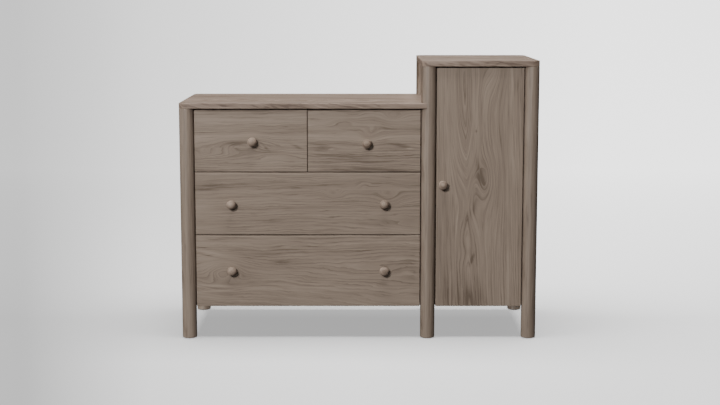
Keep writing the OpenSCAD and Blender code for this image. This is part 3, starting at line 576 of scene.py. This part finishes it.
# Floor and backdrop
def bowl():
    """Round floor that turns up into a plain wall on every side, in one smooth sheet."""
    flat, bend, top = 5.5, 4.0, 9.0
    flat_steps, bend_steps, round_steps = 6, 24, 96
    profile = [(flat * i / flat_steps, 0.0) for i in range(1, flat_steps + 1)]
    for i in range(1, bend_steps + 1):
        k = math.radians(90 * i / bend_steps)
        profile.append((flat + bend * math.sin(k), bend - bend * math.cos(k)))
    profile.append((flat + bend, top))
    verts = [(0.0, 0.0, 0.0)]
    for r, z in profile:
        for j in range(round_steps):
            k = 2 * math.pi * j / round_steps
            verts.append((r * math.cos(k), r * math.sin(k), z))
    faces = [(0, 1 + j, 1 + (j + 1) % round_steps) for j in range(round_steps)]
    for i in range(len(profile) - 1):
        for j in range(round_steps):
            low, high, nxt = 1 + i * round_steps, 1 + (i + 1) * round_steps, (j + 1) % round_steps
            faces.append((low + j, high + j, high + nxt, low + nxt))
    mesh = bpy.data.meshes.new("bowl")
    mesh.from_pydata(verts, [], faces)
    mesh.shade_smooth()
    obj = bpy.data.objects.new("bowl", mesh)
    bpy.context.scene.collection.objects.link(obj)
    return obj


# Brightness of the paper by the place across it, from -FAN on the left to FAN on the right: its glow, and
# its colour, which is painted shade, darkest in a band left of the middle. The place follows a fan of
# lines: its reach grows to the back from FAN_START in front of the middle and, nearer to the viewer,
# grows again by FRONT_FAN
FAN = 0.8
FAN_START = 5.6
FRONT_FAN = (-1.5, -2.15)
WALL_GLOW = (
    (-0.80, 1.70), (-0.30, 0.92), (-0.24, 0.90), (-0.183, 1.12), (-0.148, 1.32), (-0.042, 1.72),
    (0.0, 1.90), (0.169, 2.48), (0.30, 2.48), (0.80, 2.10),
)
FLOOR_GLOW = (
    (-0.80, 0.50), (-0.24, 0.38), (-0.15, 0.46), (-0.10, 0.48), (0.10, 0.48), (0.24, 0.55), (0.80, 0.55),
)
PAPER_PAINTED_SHADE = (
    (-0.80, 0.85), (-0.30, 0.34), (-0.24, 0.31), (-0.15, 0.74), (0.0, 0.88), (0.24, 0.90), (0.80, 0.88),
)

# Where the floor's glow turns into the wall's: towards the back, and outwards on every side
BACK_RANGE = (0.1, 5.1)
BACK_CURVE = 0.8
EDGE_RANGE = (4.5, 9.4)


def paper():
    """Pale paper that glows by itself, more to the right and towards the wall, with painted shade in its
    colour, darkest in a band left of the middle.
    """
    t = Tree("floor_paper")
    coord = t.place()
    x, y, _ = t.parts(coord)
    reach = t.math("MAXIMUM", t.math("ADD", y, FAN_START), t.math("MULTIPLY_ADD", y, *FRONT_FAN))
    place = t.remap(t.math("DIVIDE", x, reach), -FAN, FAN)

    def ramp(stops):
        """Brightness by the place in the fan, from pairs of place and brightness."""
        node = t.add("ShaderNodeValToRGB")
        peak = max(v for _, v in stops)
        items = node.color_ramp.elements
        while len(items) < len(stops):
            items.new(0.5)
        for item, (u, v) in zip(items, stops):
            item.position = (u + FAN) / (2 * FAN)
            item.color = (v / peak, v / peak, v / peak, 1.0)
        t.put(node.inputs["Fac"], place)
        return t.math("MULTIPLY", node.outputs["Color"], peak)

    wall_glow = ramp(WALL_GLOW)
    floor_glow = ramp(FLOOR_GLOW)
    away = t.vec("LENGTH", t.xyz(x, y, 0.0))
    far = t.math("POWER", t.remap(y, *BACK_RANGE), BACK_CURVE)
    far = t.math("MAXIMUM", far, t.remap(away, *EDGE_RANGE, smooth=True))
    mottle = t.math("MULTIPLY_ADD", t.noise(coord, scale=3.0, detail=3.0), 0.02, 0.99)
    matt = t.add("ShaderNodeBsdfDiffuse")
    t.put(matt.inputs["Color"], t.math("MULTIPLY", ramp(PAPER_PAINTED_SHADE), mottle))
    glow = t.add("ShaderNodeEmission")
    glow.inputs["Color"].default_value = (1.0, 1.0, 1.0, 1.0)
    strength = t.math("MULTIPLY_ADD", far, t.math("SUBTRACT", wall_glow, floor_glow), floor_glow)
    t.put(glow.inputs["Strength"], strength)
    both = t.add("ShaderNodeAddShader")
    t.put(both.inputs[0], matt.outputs[0])
    t.put(both.inputs[1], glow.outputs[0])
    t.output(both)
    return t.material


floor = bowl()
floor.data.materials.append(paper())
floor.visible_diffuse = False
floor.visible_glossy = False
floor.visible_shadow = False


# Light
def light_set(name, members):
    """Collection of the objects that a light reaches."""
    group = bpy.data.collections.new(name)
    for obj in members:
        group.objects.link(obj)
    return group


def is_behind_fronts(name):
    return "front" not in name and "knob" not in name and name != "door_panel"


dresser_set = light_set("dresser_set", nodes.values())
floor_set = light_set("floor_set", [floor])
right_foot_set = light_set("right_foot_set", [nodes["rear_right_post"]])
left_foot_set = light_set("left_foot_set", [nodes["rear_left_post"]])
left_set = light_set("left_set", [obj for name, obj in nodes.items() if name != "rear_centre_post"])
right_set = light_set("right_set", [obj for name, obj in nodes.items() if is_behind_fronts(name)])
edge_set = light_set("edge_set", [obj for name, obj in nodes.items() if name.startswith("front_")])

# Point that the round lights look at, and where both low lights stand round it
MIDDLE = Vector((0.0, -0.25, 0.5))
LOW_PLACE = dict(azimuth=-24, elevation=3, distance=5.5)


def area(name, place, target, size, power, receivers, glossy=True, wide=None):
    """Area light that reaches only its receivers: square, or wide in its own X. Power in watts."""
    data = bpy.data.lights.new(name, "AREA")
    data.energy = power
    data.size = size
    if wide:
        data.shape = "RECTANGLE"
        data.size, data.size_y = wide, size
    obj = bpy.data.objects.new(name, data)
    obj.location = place
    obj.rotation_euler = (Vector(target) - obj.location).to_track_quat("-Z", "Y").to_euler()
    bpy.context.scene.collection.objects.link(obj)
    obj.visible_glossy = glossy
    obj.light_linking.receiver_collection = receivers


def round_light(name, azimuth, elevation, distance, size, power, receivers, glossy=True):
    """Area light that looks at the middle. Azimuth 0 is straight in front, positive to the right."""
    a, e = math.radians(azimuth), math.radians(elevation)
    away = Vector((math.cos(e) * math.sin(a), -math.cos(e) * math.cos(a), math.sin(e)))
    area(name, MIDDLE + distance * away, MIDDLE, size, power, receivers, glossy)


round_light("key", azimuth=-21, elevation=22.5, distance=8.0, size=1.6, power=500, receivers=dresser_set)
area("overhead", place=(0.0, -0.6, 4.5), target=(0.0, -0.6, 0.0), size=2.2, power=150, receivers=dresser_set)
round_light("left_fill", azimuth=-85, elevation=20, distance=6.0, size=2.0, power=105, receivers=left_set)
round_light("low_light", size=1.1, power=180, receivers=right_foot_set, **LOW_PLACE)
round_light("low_left_light", size=1.1, power=60, receivers=left_foot_set, **LOW_PLACE)
area(
    "floor_light", place=(0.0, -0.1, 4.5), target=(0.0, -0.1, 0.0), size=2.6, wide=3.8, power=325,
    receivers=floor_set,
)
round_light(
    "right_fill", azimuth=100, elevation=6, distance=6.0, size=2.5, power=110, receivers=right_set,
    glossy=False,
)
round_light(
    "right_edge", azimuth=125, elevation=6, distance=6.0, size=2.0, power=60, receivers=edge_set,
    glossy=False,
)
round_light(
    "back_fill", azimuth=180, elevation=25, distance=5.0, size=2.5, power=110, receivers=dresser_set,
    glossy=False,
)

world = bpy.data.worlds.new("world")
world.use_nodes = True
world.node_tree.nodes["Background"].inputs["Color"].default_value = (0.8, 0.8, 0.8, 1.0)
world.node_tree.nodes["Background"].inputs["Strength"].default_value = 0.07
bpy.context.scene.world = world

# Camera
CAMERA_PLACE = (0.0041, -5.5646, 1.283)
LOOK_DOWN = 8.142
camera = bpy.data.objects.new("camera", bpy.data.cameras.new("camera"))
camera.data.sensor_width = 36.0
camera.data.lens = 71.12
camera.data.clip_end = 60.0
camera.location = CAMERA_PLACE
camera.rotation_euler = (math.radians(90 - LOOK_DOWN), 0.0, 0.0)
bpy.context.scene.collection.objects.link(camera)
bpy.context.scene.camera = camera
